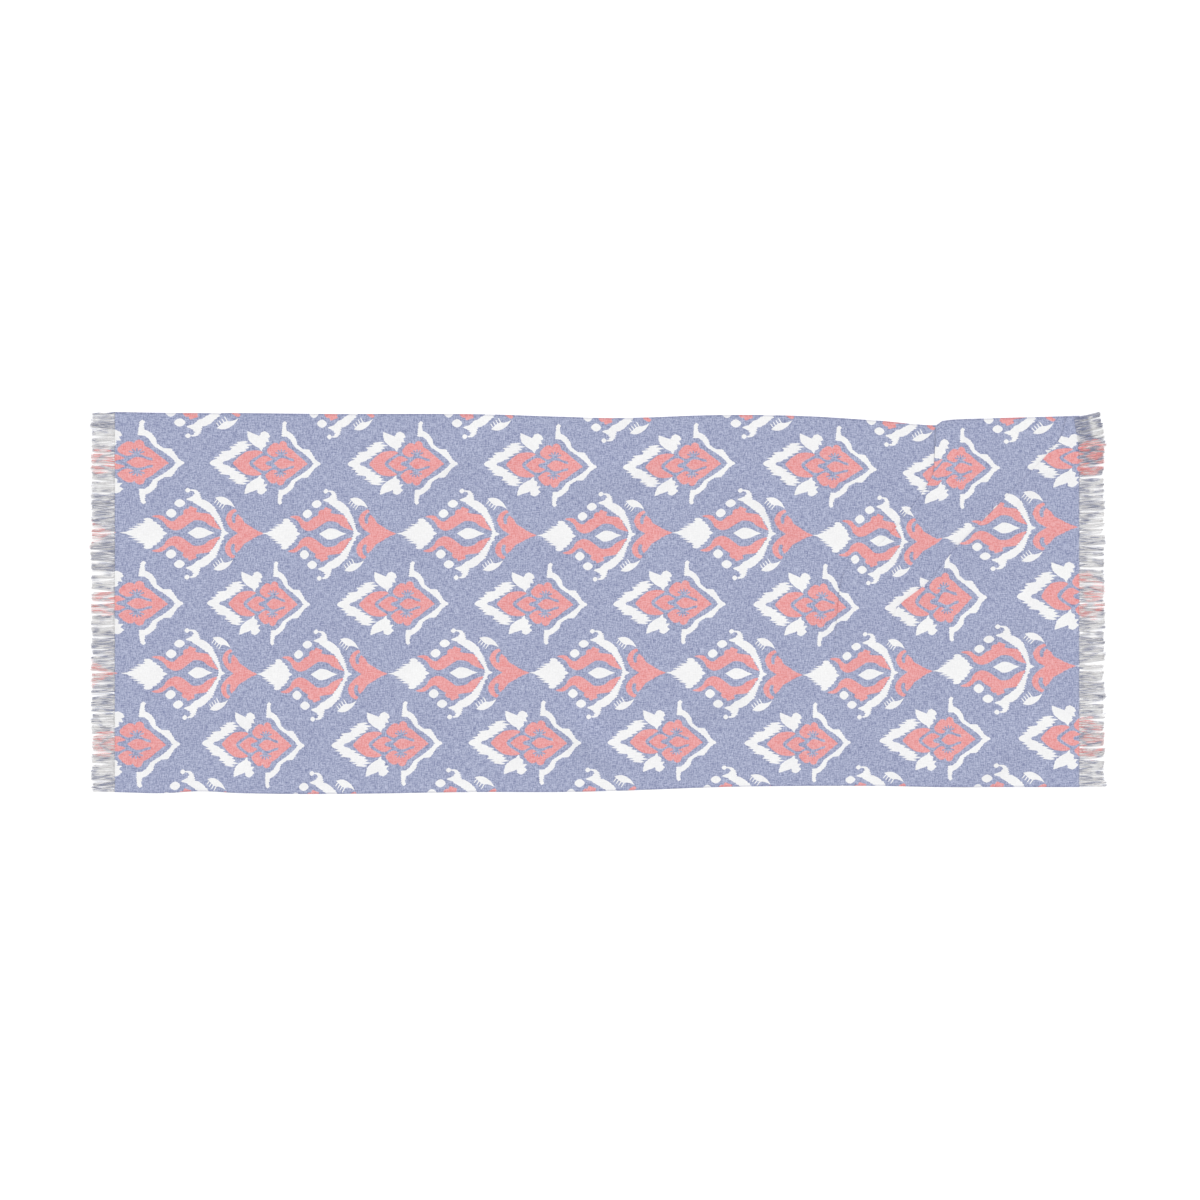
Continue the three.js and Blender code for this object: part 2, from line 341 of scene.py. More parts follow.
def smooth(t):
    """A soft step from 0 to 1."""
    t = np.clip(t, 0, 1)
    return t * t * (3 - 2 * t)


def tuck_at(tuck, across):
    """One tuck as it is at each place across the cloth."""
    fold = look_up(tuck["rows"], "across", "fold", across)
    turn = np.radians(np.clip(look_up(tuck["rows"], "across", "turn", across), 0, 180))
    back = np.maximum(LEAST_BACK, look_up(tuck["rows"], "across", "back", across))
    above = look_up(tuck["rows"], "across", "fold", across + 1)
    below = look_up(tuck["rows"], "across", "fold", across - 1)
    slant = np.hypot(1, (above - below) / 2)
    length = 2 * BEND * turn + back
    advance = 2 * BEND * slant * np.sin(turn) + back * np.cos(turn)
    rise = 2 * BEND * (1 - np.cos(turn)) + back * np.sin(turn)
    return dict(fold=fold, turn=turn, back=back, slant=slant, length=length, rise=rise,
                start=fold - advance, hidden=length - advance, settle=tuck["settle"])


def pass_tuck(tuck, distance):
    """Where the cloth goes at a distance along it: a place that stops at the fold, its own, its height."""
    run = distance - tuck["start"]
    before = run <= 0
    after = run >= tuck["length"]
    run = np.clip(run, 0, tuck["length"])
    arc = BEND * tuck["turn"]
    early = np.minimum(run, arc) / BEND
    straight = np.clip(run - arc, 0, tuck["back"])
    late = tuck["turn"] - np.maximum(run - arc - tuck["back"], 0) / BEND
    sines = np.sin(early) + np.sin(tuck["turn"]) - np.sin(late)
    cosines = 1 - np.cos(early) + np.cos(late) - np.cos(tuck["turn"])
    x = tuck["start"] + BEND * tuck["slant"] * sines + straight * np.cos(tuck["turn"])
    z = BEND * cosines + straight * np.sin(tuck["turn"])
    x = np.where(before, distance, np.where(after, distance - tuck["hidden"], x))
    ledge = np.maximum(tuck["start"], tuck["fold"]) + tuck["slant"] * BEND + LEDGE
    top = tuck["rise"] * (1 - smooth((x - ledge) / tuck["settle"]))
    z = np.where(before, 0, np.where(after, top, z))
    flat = np.where(after, x, np.minimum(x, tuck["fold"]))
    return flat, x, z


def bell(q):
    """A soft hump from -1 to 1 with its top at 0."""
    return np.where(np.abs(q) < 1, np.cos(q * math.pi / 2) ** 2, 0)


def swell_height(x, y):
    """Height of the swells and creases at places on the laid cloth."""
    height = np.zeros_like(x)
    for swell in SWELLS + CREASES:
        turn = math.radians(swell["turn"])
        dx = x - swell["along"]
        dy = y - swell["across"]
        lengthwise = (dx * math.cos(turn) + dy * math.sin(turn)) / swell["reach"]
        crosswise = (dy * math.cos(turn) - dx * math.sin(turn)) / swell["spread"]
        height += swell["height"] * bell(lengthwise) * bell(crosswise)
    return height


def drape(distance, across):
    """The cloth's middle surface at distances along it and places across it, one row for each point."""
    first_flat, first_x, first_z = pass_tuck(tuck_at(TUCKS[0], across), distance)
    second_flat, x, second_z = pass_tuck(tuck_at(TUCKS[1], across), first_x)
    flat = np.minimum(first_flat, second_flat)
    share = across / CLOTH_WIDTH + 0.5
    lower = look_up(EDGES, "along", "lower", flat)
    upper = look_up(EDGES, "along", "upper", flat)
    y = lower + share * (upper - lower)
    z = SHELL / 2 + PRESSED * (first_z + second_z) + swell_height(x, y)
    return np.stack([x, y, z], axis=1)


def taken_in(across):
    """Length of cloth that the pleats take in at a place across it."""
    return sum(tuck_at(tuck, across)["hidden"] for tuck in TUCKS)


def by_row(rows, along, across):
    """A table's value at places of the even print, blended between the rows of motifs."""
    places = sorted(ROW_AXES.values())
    value = np.zeros_like(across)
    for name, axis in ROW_AXES.items():
        share = np.interp(across, places, [float(place == axis) for place in places])
        value += share * look_up(rows, "along", name, along)
    return value


def stretch_of(points):
    """The stretch of the flat cloth that each point lies on: 0 before the pleats, 1 between, 2 beyond."""
    stretch = np.zeros(len(points), int)
    taken = 0
    for tuck in [tuck_at(tuck, points[:, 1]) for tuck in TUCKS]:
        inner_middle = tuck["start"] + BEND * tuck["turn"] + tuck["back"] / 2
        stretch += points[:, 0] > inner_middle + taken
        taken = taken + tuck["hidden"]
    return stretch


def printed_place(points, stretch):
    """Where places of the even print lie on one stretch of the flat cloth."""
    along = points[:, 0] + by_row(SLIDES, points[:, 0], points[:, 1])
    across = points[:, 1] + by_row(WAVES, points[:, 0], points[:, 1])
    passed = list(zip(TUCKS, HIDDEN_PRINT))[:stretch]
    for _, rows in passed:
        across = across + look_up(rows, "across", "across_lost", np.clip(across, -HALF_WIDTH, HALF_WIDTH))
    nearest = np.clip(across, -HALF_WIDTH, HALF_WIDTH)
    for tuck, rows in passed:
        lost = look_up(rows, "across", "along_lost", nearest)
        along = along + tuck_at(tuck, nearest)["hidden"] - lost
    return np.stack([along, across], axis=1)


def laid_charts(chart):
    """The chart as it lies on each stretch of the cloth, with only the outlines that reach onto it."""
    reach = np.array([LAID_LENGTH + MOST_TAKEN_IN, HALF_WIDTH])
    charts = []
    for stretch in range(len(TUCKS) + 1):
        laid = []
        for ink, outline in chart:
            placed = printed_place(outline, stretch)
            near = (placed.max(axis=0) > (0, -reach[1])).all() and (placed.min(axis=0) < reach).all()
            if near and (stretch_of(placed) == stretch).any():
                laid.append((ink, placed))
        charts.append(laid)
    return charts


# The chart of the print: outlines in millimetres from each motif's left tip, its axis at zero


def mirrored(half):
    """A whole outline from its upper half, which starts and ends on the axis."""
    return half + [(u, -v) for u, v in reversed(half[1:-1])]


def flipped(outline):
    """An outline's mirror image below the axis."""
    return [(u, -v) for u, v in reversed(outline)]


def rounded(outline, steps):
    """A soft curve through an outline's points, with this many sides between each two."""
    points = np.array(outline, float)
    before = np.roll(points, 1, axis=0)
    after = np.roll(points, -1, axis=0)
    beyond = np.roll(points, -2, axis=0)
    curve = []
    for k in range(steps):
        t = k / steps
        part = 2 * points + (after - before) * t
        part += (2 * before - 5 * points + 4 * after - beyond) * t**2
        part += (3 * points - before - 3 * after + beyond) * t**3
        curve.append(part / 2)
    return [tuple(p) for p in np.stack(curve, axis=1).reshape(-1, 2)]


def spot(u, v, half_length, half_height, sides=12, squareness=1.25):
    """A dot drawn out a little along and across, as dots in tied and dyed yarns are."""
    made = []
    for k in range(sides):
        angle = 2 * math.pi * k / sides
        right = math.copysign(abs(math.cos(angle)) ** squareness, math.cos(angle))
        up = math.copysign(abs(math.sin(angle)) ** squareness, math.sin(angle))
        made.append((u + half_length * right, v + half_height * up))
    return made


def feathered(outline, left, right, seed):
    """An outline whose steep sides run out into uneven spikes along the warp, as dyed yarns do."""
    draw = random.Random(seed)
    points = np.array(outline, float)
    ahead = np.roll(points, -1, axis=0)
    area = np.sum(points[:, 0] * ahead[:, 1] - ahead[:, 0] * points[:, 1])
    made = []
    for (u0, v0), (u1, v1) in zip(points, ahead):
        made.append((u0, v0))
        count = int(abs(v1 - v0) / SPIKE_PITCH + 0.4)
        outward = math.copysign(1, (v1 - v0) * area)
        reach = right if outward > 0 else left
        for k in range(count):
            length = outward * reach * draw.uniform(*SPIKE_LENGTHS)
            for corner in SPIKE_CORNERS:
                tip = (k + corner) / count
                made.append((u0 + (u1 - u0) * tip + length, v0 + (v1 - v0) * tip))
                length *= draw.uniform(*SPIKE_SLANT)
            if k + 1 < count:
                foot = (k + 1) / count
                back = outward * reach * draw.uniform(*SPIKE_DIP)
                made.append((u0 + (u1 - u0) * foot - back, v0 + (v1 - v0) * foot))
    return made


def fan(u, v, blades, length, width, first=25, last=155, squash=0.8):
    """Notches of ground colour that spread upwards from one point of a petal, between two angles."""
    made = []
    for k in range(blades):
        angle = math.radians(first + (last - first) * k / (blades - 1))
        side = (-math.sin(angle) * width / 2, math.cos(angle) * width / 2)
        tip = (u + length * math.cos(angle), v + length * math.sin(angle) * squash)
        made.append([(u - side[0], v - side[1]), (u + side[0], v + side[1]),
                     (tip[0] + side[0], tip[1] + side[1]), (tip[0] - side[0], tip[1] - side[1])])
    return made


def comb_leaf():
    """A small leaf with slanting teeth along its inner side."""
    leaf = [(152, 64.5), (160, 66.5), (166, 66), (172, 63.5), (180, 57.5), (184, 52), (187.5, 46.5),
            (181, 50), (174, 52), (168.5, 51.5), (163, 54), (157.5, 59)]
    roots = np.array([(155.5, 61), (169, 52)])
    tips = np.array([(151.5, 54.5), (164.5, 44)])
    half_root = np.array((1.7, 0.9))
    half_tip = np.array((1.2, 0.5))
    teeth = 4
    shapes = [leaf]
    for k in range(teeth):
        t = k / (teeth - 1)
        root = roots[0] + (roots[1] - roots[0]) * t
        tip = tips[0] + (tips[1] - tips[0]) * t
        shapes.append([tuple(root - half_root), tuple(root + half_root), tuple(tip + half_tip),
                       tuple(tip - half_tip)])
    return shapes


def lozenge():
    """The lozenge motif: a chevron, a coral diamond with a petalled heart, two leaves and a bracket."""
    chevron = mirrored([(0, 0), (3.5, 4), (13, 7.5), (6, 9.5), (17, 11.5), (15, 15), (22, 16.5),
                        (17, 19.5), (35, 22), (37, 25.5), (33, 28.5), (46, 30), (38, 32), (48, 34),
                        (45, 36.5), (60, 38.5), (66, 37), (58, 34.5), (73, 32), (62, 29.5), (67, 26.5),
                        (59, 24.5), (62, 21.5), (49, 18.5), (54, 16.5), (41, 13), (45, 10.5), (35, 8),
                        (32, 5), (23, 2.5), (21, 0)])
    outer_coral = mirrored([(39, 0), (43.5, 5.5), (50.5, 12), (58, 17.5), (65.5, 21), (76, 22.5),
                            (84, 22), (90.5, 19), (82.5, 14), (75, 9.5), (68, 4), (66, 0)])
    inner_coral = mirrored([(73, 0), (77, 3.5), (82, 7.5), (87, 10.5), (91.5, 13), (98, 13), (103, 10),
                            (108, 7), (103, 4.5), (97, 3), (94.5, 0)])
    petals = mirrored([(144, 0), (148, 4.5), (147, 8), (139, 10), (132, 13.5), (124, 15.5), (116, 14),
                       (117.5, 12.5), (111, 11), (104, 14), (98.5, 19), (98, 23), (102, 28), (106, 32.5),
                       (111, 36), (116.5, 35.5), (119.5, 31.5), (121.5, 36.5), (126.5, 39.5),
                       (132.5, 36.5), (135.5, 28.5), (145, 23), (153, 15.5), (163.5, 7), (172, 0)])
    heart = mirrored([(110, 0), (115, 4), (119, 7.5), (123, 9.5), (127, 9.5), (132, 8.5), (136, 7),
                      (140, 5), (148, 3.5), (152, 0)])
    leaf = [(64, 55.5), (73, 52), (85.5, 47), (88.5, 54), (94, 56), (99.5, 53), (103.5, 47), (99, 43.5),
            (102, 37), (95, 37.5), (96, 30), (90.5, 27), (88.5, 21), (84, 26.5), (75.5, 31), (67, 39),
            (64, 47.5)]
    bracket = mirrored([(184.5, 0), (174, 11.5), (163, 20), (154.5, 25.5), (149.5, 28.5), (146, 33),
                        (141, 41.5), (134.5, 46.5), (126, 47), (126, 58), (127.5, 71), (130.5, 74),
                        (134, 72), (132.5, 63.5), (134, 57), (143, 52), (151, 42.5), (153, 33),
                        (163.5, 25.5), (174.5, 25), (180.5, 17), (187, 7.5), (196.5, 0)])
    shapes = [
        ("white", feathered(chevron, 1.2, 1.2, seed=3)),
        ("white", feathered(bracket, 1.8, 1.8, seed=6)),
        ("coral", feathered(outer_coral, 1.6, 1.6, seed=7)),
        ("coral", feathered(inner_coral, 1, 1, seed=8)),
        ("coral", feathered(petals, 1.3, 1.3, seed=9)),
        ("coral", feathered(heart, 0.8, 0.8, seed=10)),
    ]
    for turned, seed in ((list, 4), (flipped, 5)):
        shapes.append(("white", turned(feathered(leaf, 1.6, 1.6, seed=seed))))
        shapes += [("ground", turned(blade)) for blade in fan(124, 15, 5, 12, 2.6)]
    return shapes


def medallion():
    """The medallion motif: a feathered head, flames round an eye, dots, an arc and a forked tail."""
    head = mirrored([(0, 0), (10, 2), (14, 4.5), (20, 6.2), (12, 8), (26, 10), (18, 12), (31, 14),
                     (23, 16.5), (37, 18.5), (33, 20.5), (37.5, 22.5), (35, 25), (38.5, 27.5),
                     (44, 27.5), (49.5, 24), (48, 22), (55, 20), (54, 17), (60.5, 14.5), (59.5, 11.5),
                     (64.5, 8), (63, 4.5), (71, 0)])
    flame = [(47.5, 30.5), (54.5, 33), (64, 32), (70, 26.5), (77.5, 22), (84, 23), (90, 29.5),
             (99, 34.5), (98.5, 40), (103, 44.5), (107, 44), (110, 49), (116, 46.5), (121.5, 44.5),
             (120, 39), (128.5, 36.5), (141.5, 35), (148.5, 29.5), (154.5, 20), (160, 12.5), (165, 6),
             (152.5, 10), (143, 14.5), (138, 19), (129.5, 22.5), (117.5, 23), (111, 19.5), (102.5, 13),
             (93.5, 7), (84, 5), (76.5, 8), (70.5, 13.5), (66.5, 20), (58.5, 27)]
    eye = mirrored([(105, 0), (111, 4), (117, 8), (120.5, 10), (127, 10), (135, 8), (144, 3.5),
                    (154, 0)])
    arc = [(167.5, 0), (165, 9), (158.5, 19), (151.5, 28.5), (145, 37), (138, 41.5), (129, 47.5),
           (120, 53), (115, 57.5), (105, 60.5), (105, 63), (110.5, 65), (116, 67.5), (118.5, 71.5),
           (116.5, 75.5), (111.5, 77), (113, 79.5), (118.5, 79), (123.5, 74.5), (126, 68.5), (128, 61.5),
           (137, 58.5), (144.5, 53.5), (152.5, 45), (157, 36), (162, 25), (167, 13), (172, 4), (180, 0)]
    tail = mirrored([(197, 0), (189, 5), (182.5, 10), (176.5, 17), (173, 26), (174.5, 34), (179, 40),
                     (187, 44.5), (190.5, 41), (184.5, 35), (182.5, 28), (184.5, 20), (188.5, 17.5),
                     (191.5, 20), (190, 27), (193.5, 34.5), (200, 28.5), (207, 19), (217.5, 13),
                     (224, 8.5), (232, 4.5), (244, 0)])
    shapes = [("white", feathered(head, 1.2, 1, seed=11)), ("white", eye)]
    for side, turned in ((0, list), (20, flipped)):
        shapes += [
            ("coral", turned(feathered(rounded(flame, 2), 1.5, 1.5, seed=12 + side))),
            ("white", turned(spot(78.5, 36.5, 8.8, 8.2))),
            ("white", turned(spot(93, 54.5, 9.2, 7.5))),
            ("white", turned(spot(106.5, 78, 4.5, 4.4))),
            ("white", turned(feathered(arc, 3.5, 3.5, seed=13 + side))),
        ]
        shapes += [("white", turned(part)) for part in comb_leaf()]
    shapes.append(("coral", feathered(tail, 1.5, 1.5, seed=14)))
    return shapes


def stepped(outline, step):
    """An outline with points added so that no side is longer than a step."""
    ahead = np.roll(outline, -1, axis=0)
    made = []
    for here, there in zip(outline, ahead):
        count = max(1, math.ceil(np.linalg.norm(there - here) / step))
        made += [here + (there - here) * k / count for k in range(count)]
    return np.array(made)


def print_chart():
    """Every motif of the print as (ink, outline), in the even print's own places."""
    placed = []
    for shapes, axes, columns, length, height in (
        (lozenge(), LOZENGE_AXES, LOZENGES, LOZENGE_LENGTH, LOZENGE_HEIGHT),
        (medallion(), MEDALLION_AXES, MEDALLIONS, MEDALLION_LENGTH, 1),
    ):
        for axis in axes:
            for column in columns:
                pleated = column["tip"] > PLEATED_FROM and axis > ROW_AXES["lower"]
                step = FINE_STEP if pleated else PLAIN_STEP
                scale = np.array([column["length"] / length, height])
                origin = np.array([column["tip"] - column["length"], axis])
                for ink, outline in shapes:
                    placed.append((ink, stepped(np.array(outline, float) * scale + origin, step)))
    return placed


INKS = ("ground", "coral", "white")


def inside(points, outline):
    """Which points lie in an outline, by counting the sides that each one's ray crosses."""
    hit = np.zeros(len(points), bool)
    for (u0, v0), (u1, v1) in zip(outline, np.roll(outline, -1, axis=0)):
        crosses = (v0 > points[:, 1]) != (v1 > points[:, 1])
        if v0 == v1 or not crosses.any():
            continue
        at = u0 + (points[:, 1] - v0) * (u1 - u0) / (v1 - v0)
        hit ^= crosses & (points[:, 0] < at)
    return hit


def ink_at(points, chart):
    """The ink at each point: the topmost outline of the chart that holds it."""
    ink = np.zeros(len(points), int)
    for name, outline in chart:
        low = outline.min(axis=0)
        high = outline.max(axis=0)
        near = np.nonzero(((points >= low) & (points <= high)).all(axis=1))[0]
        if len(near):
            ink[near[inside(points[near], outline)]] = INKS.index(name)
    return ink


def turn_lines(across):
    """Where the net's lines run along the pleats' turns, at one place across the flat cloth."""
    lines = []
    taken = 0.0
    for tuck in [tuck_at(tuck, np.array([across])) for tuck in TUCKS]:
        start = float(tuck["start"][0]) + taken
        arc = float(BEND * tuck["turn"][0])
        back = float(tuck["back"][0])
        open_by = (1 - float(tuck["turn"][0]) / math.pi) ** 2
        for half, begin in enumerate((start, start + arc + back)):
            for k in range(TURN_STEPS + 1):
                place = half * (TURN_STEPS + 1) + k - TURN_STEPS - 0.5
                lines.append(begin + arc * k / TURN_STEPS + place * TURN_SPREAD * open_by)
        taken += float(tuck["hidden"][0])
    return lines


def ground_points():
    """Points of an even net over the cloth, with lines along its pleats, and the sides to be kept."""
    hem = HALF_WIDTH - np.array(HEM_LINES)
    inner = HALF_WIDTH - NET_MARGIN
    rows = np.concatenate([-hem, np.linspace(-inner, inner, NET_ROWS), hem[::-1]])
    points = []
    kept = []
    last_numbers = []
    for across in rows:
        end = LAID_LENGTH + float(taken_in(np.array([across]))[0])
        lines = [0.0] + turn_lines(across) + [end]
        numbers = list(range(len(points), len(points) + len(lines)))
        points += [(along, across) for along in lines]
        kept += list(zip(last_numbers, numbers))
        if abs(across) == HALF_WIDTH:
            kept += list(zip(numbers, numbers[1:]))
        last_numbers = numbers
        for along in np.arange(NET_STEP, end - END_CLEARANCE, NET_STEP):
            if np.abs(np.array(lines) - along).min() > LINE_CLEARANCE:
                points.append((along, across))
    return points, kept


def shown_sides(outline, stretch):
    """The sides of an outline that reach onto its own stretch of the cloth, by their points' numbers."""
    here = stretch_of(outline) == stretch
    after = np.roll(np.arange(len(outline)), -1)
    return [(k, int(after[k])) for k in np.nonzero(here | here[after])[0].tolist()]


def cloth_net(chart):
    """Triangles over the flat cloth that follow every outline of the print, with the ink of each."""
    points, kept = ground_points()
    charts = laid_charts(chart)
    for stretch, laid in enumerate(charts):
        for _, outline in laid:
            sides = shown_sides(outline, stretch)
            corners = sorted({corner for side in sides for corner in side})
            number = {corner: len(points) + k for k, corner in enumerate(corners)}
            points += [tuple(outline[corner]) for corner in corners]
            kept += [(number[a], number[b]) for a, b in sides]
    made = delaunay_2d_cdt([Vector(p) for p in points], kept, [], 0, NET_TOLERANCE)
    flat = np.array([tuple(v) for v in made[0]])
    triangles = np.array([f for f in made[2] if len(f) == 3])
    middle = flat[triangles].mean(axis=1)
    end = LAID_LENGTH + taken_in(middle[:, 1])
    on_cloth = (middle[:, 0] > 0) & (middle[:, 0] < end) & (np.abs(middle[:, 1]) < HALF_WIDTH)
    triangles = triangles[on_cloth]
    middle = middle[on_cloth]
    used, triangles = np.unique(triangles, return_inverse=True)
    triangles = triangles.reshape(-1, 3)
    flat = flat[used]
    sides = flat[triangles]
    area = np.cross(sides[:, 1] - sides[:, 0], sides[:, 2] - sides[:, 0])
    triangles = np.where(area[:, None] < 0, triangles[:, ::-1], triangles)
    ink = np.zeros(len(middle), int)
    for stretch, laid in enumerate(charts):
        here = stretch_of(middle) == stretch
        ink[here] = ink_at(middle[here], laid)
    return flat, triangles, ink


def new_object(name, places, faces):
    """A mesh object in the scene, from its points in metres and its faces."""
    mesh = bpy.data.meshes.new(name)
    mesh.from_pydata(places.tolist(), [], [tuple(int(i) for i in face) for face in faces])
    mesh.update()
    made = bpy.data.objects.new(name, mesh)
    bpy.context.scene.collection.objects.link(made)
    return made


def add_corner_data(mesh, name, values):
    """Colour of each face corner, as an attribute that the materials read."""
    layer = mesh.color_attributes.new(name, "FLOAT_COLOR", "CORNER")
    layer.data.foreach_set("color", np.asarray(values, np.float32).ravel())


def add_map(mesh, name, values):
    """A UV map from each face corner's place in it."""
    layer = mesh.uv_layers.new(name=name)
    layer.data.foreach_set("uv", np.asarray(values, np.float32).ravel())


def corner_points(mesh):
    """The number of each face corner's point."""
    corners = np.zeros(len(mesh.loops), int)
    mesh.loops.foreach_get("vertex_index", corners)
    return corners


def point_normals(places, triangles):
    """Directions at right angles to the surface, one for each point."""
    sides = places[triangles]
    normals = np.cross(sides[:, 1] - sides[:, 0], sides[:, 2] - sides[:, 0])
    total = np.zeros_like(places)
    for k in range(3):
        np.add.at(total, triangles[:, k], normals)
    return total / np.linalg.norm(total, axis=1, keepdims=True)


def rim_of(triangles):
    """Directed edges that only one triangle has."""
    edges = np.concatenate([triangles[:, [0, 1]], triangles[:, [1, 2]], triangles[:, [2, 0]]])
    there = {tuple(e) for e in edges.tolist()}
    return [e for e in edges.tolist() if (e[1], e[0]) not in there]


def make_cloth(chart, shift):
    """The printed cloth: a thin closed shell over the draped net."""
    flat, triangles, ink = cloth_net(chart)
    middle = drape(flat[:, 0], flat[:, 1])
    normals = point_normals(middle, triangles)
    edge = HALF_WIDTH - np.abs(flat[:, 1])
    thick = SHELL + HEM_EXTRA * (1 - smooth(edge / HEM_WIDTH))
    half = normals * thick[:, None] / 2
    count = len(flat)
    places = np.concatenate([middle + half, middle - half])
    places[:, 2] = np.maximum(places[:, 2], 0)
    rim = [(a, a + count, b + count, b) for a, b in rim_of(triangles)]
    faces = list(triangles) + list(triangles[:, ::-1] + count) + rim
    cloth = new_object("printed_cloth", (places + shift) * MM, faces)
    mesh = cloth.data
    face_ink = np.concatenate([ink, ink, np.zeros(len(rim), int)])
    under = np.concatenate([np.zeros(len(ink)), np.ones(len(ink)), np.zeros(len(rim))])
    sizes = np.array([len(f) for f in faces])
    corner_ink = np.repeat(face_ink, sizes)
    corner_under = np.repeat(under, sizes)
    add_corner_data(mesh, "ink", np.stack(
        [corner_ink == 1, corner_ink == 2, corner_under, np.ones(len(corner_ink))], axis=1))
    corners = corner_points(mesh)
    weave = flat[corners % count] * MM
    add_map(mesh, "weave", weave)
    spread = weave / (BAKE_LENGTH * MM) + BAKE_CORNER
    spread[:, 1] += BAKE_UNDERSIDE * (corners >= count)
    add_map(mesh, "OFBake", spread)
    mesh.shade_smooth()
    mesh.set_sharp_from_angle(angle=SHARP_EDGE)
    return cloth


class Shading:
    """A material's nodes, with short ways to add and join them."""

    def __init__(self, name):
        self.material = bpy.data.materials.new(name)
        self.material.use_nodes = True
        self.tree = self.material.node_tree
        self.shader = self.tree.nodes["Principled BSDF"]

    def link(self, value, socket):
        """Joins a node's output to a socket, or sets the socket to a number or colour."""
        if isinstance(value, bpy.types.NodeSocket):
            self.tree.links.new(value, socket)
        elif isinstance(value, tuple) and len(socket.default_value) == 4:
            socket.default_value = (*value, 1)
        else:
            socket.default_value = value

    def add(self, kind, settings, **inputs):
        node = self.tree.nodes.new(kind)
        for key, value in settings.items():
            setattr(node, key, value)
        for key, value in inputs.items():
            self.link(value, node.inputs[key.replace("_", " ")])
        return node

    def math(self, operation, a, b):
        node = self.add("ShaderNodeMath", dict(operation=operation))
        self.link(a, node.inputs[0])
        self.link(b, node.inputs[1])
        return node.outputs["Value"]

    def mix(self, factor, a, b, kind="MIX"):
        node = self.add("ShaderNodeMix", dict(data_type="RGBA", blend_type=kind))
        self.link(factor, node.inputs[0])
        self.link(a, node.inputs[6])
        self.link(b, node.inputs[7])
        return node.outputs[2]

    def span(self, value, bounds, low, high):
        """A value between its bounds, brought to run from low to high."""
        node = self.add("ShaderNodeMapRange", {}, Value=value, From_Min=bounds[0], From_Max=bounds[1],
                        To_Min=low, To_Max=high)
        return node.outputs["Result"]

    def noise(self, place, scale, detail=2.0):
        """Noise stretched by its scale in repeats a metre along and across."""
        mapping = self.add("ShaderNodeMapping", {}, Vector=place, Scale=scale)
        noise = self.add("ShaderNodeTexNoise", {}, Vector=mapping.outputs["Vector"], Scale=1.0,
                         Detail=detail)
        return noise.outputs["Fac"]

    def yarns(self, place, turn, kind):
        """Even ridges of one kind of yarn."""
        mapping = self.add("ShaderNodeMapping", {}, Vector=place, Rotation=(0, 0, turn))
        wave = self.add("ShaderNodeTexWave", {}, Vector=mapping.outputs["Vector"], Scale=kind["scale"],
                        Distortion=kind["uneven"], Detail=1.0)
        return wave.outputs["Fac"]

    def relief(self, height, kind):
        """Fine relief on the shader."""
        bump = self.add("ShaderNodeBump", {}, Height=height, Strength=kind["strength"],
                        Distance=kind["depth"] * MM)
        self.link(bump.outputs["Normal"], self.shader.inputs["Normal"])

    def yarn_tones(self, ink, slubs):
        """An ink's colour between its dark and its light yarns."""
        channels = list(zip(ink["mean"], ink["spread"]))
        dark = tuple(mean * (1 - spread) for mean, spread in channels)
        light = tuple(mean * (1 + spread) for mean, spread in channels)
        return self.mix(slubs, dark, light)

    def inks(self, ground, coral, white):
        """The print's colour from the face corners' ink, and the ink's channels."""
        layer = self.add("ShaderNodeVertexColor", dict(layer_name="ink"))
        parts = self.add("ShaderNodeSeparateColor", {}, Color=layer.outputs["Color"])
        colour = self.mix(parts.outputs["Red"], ground, coral)
        return self.mix(parts.outputs["Green"], colour, white), parts


def cloth_material():
    """Printed plain-woven cloth: slubby yarns both ways make the dyed colours heathered."""
    shading = Shading("printed_cloth")
    shading.shader.inputs["Specular IOR Level"].default_value = 0.2
    shading.shader.inputs["Sheen Weight"].default_value = SHEEN
    shading.shader.inputs["Sheen Roughness"].default_value = 0.5
    place = shading.add("ShaderNodeUVMap", dict(uv_map="weave")).outputs["UV"]
    slubs = shading.math("ADD", shading.noise(place, SLUB_ALONG), shading.noise(place, SLUB_ACROSS))
    slubs = shading.math("ADD", slubs, shading.noise(place, GRAIN))
    tone = shading.span(slubs, SLUB_RANGE, 0, 1)
    colour, parts = shading.inks(*(shading.yarn_tones(ink, tone) for ink in (GROUND, CORAL, WHITE)))
    # Soft cloudy darkening: partly painted shade of low swells, partly uneven tone. The same clouds vary
    # the roughness.
    cloud = shading.noise(place, CLOUDS, 1.0)
    cloud_tone_and_shade = shading.span(cloud, CLOUD_RANGE, 0, CLOUD_TONE_AND_SHADE_SHARE)
    colour = shading.mix(cloud_tone_and_shade, colour, CLOUD_TONE_AND_SHADE_TINT, kind="MULTIPLY")
    faded = shading.mix(UNDER_FADE, colour, WHITE["mean"])
    colour = shading.mix(parts.outputs["Blue"], colour, faded)
    across = shading.add("ShaderNodeSeparateXYZ", {}, Vector=place).outputs["Y"]
    fade = [(HALF_WIDTH - inset) * MM for inset in HEM_FADE]
    hem = shading.span(shading.math("ABSOLUTE", across, 0.0), fade, 0, 1)
    colour = shading.mix(hem, colour, HEM_SHADE, kind="MULTIPLY")
    shading.link(colour, shading.shader.inputs["Base Color"])
    shading.link(shading.span(cloud, CLOUD_RANGE, *CLOTH_ROUGHNESS), shading.shader.inputs["Roughness"])
    weave = shading.math("ADD", shading.yarns(place, 0, WEAVE), shading.yarns(place, math.pi / 2, WEAVE))
    shading.relief(shading.math("ADD", weave, slubs), WEAVE)
    return shading.material


# The fringe: clumps of loose threads at both short ends, and the share of threads that stay loose
CLUMPS = 66
THREADS_IN_CLUMP = 14
LOOSE_SHARE = 0.3
THREAD_RADIUS = 0.43
THREAD_THICKNESS = (0.8, 1.15)
THREAD_TAPER = 0.7
THREAD_RINGS = 9
THREAD_SIDES = 4
THREAD_TURN = 0.3

# How far from a cloth's end the middle of an outline may lie that reaches its threads
NEAR_END = 300

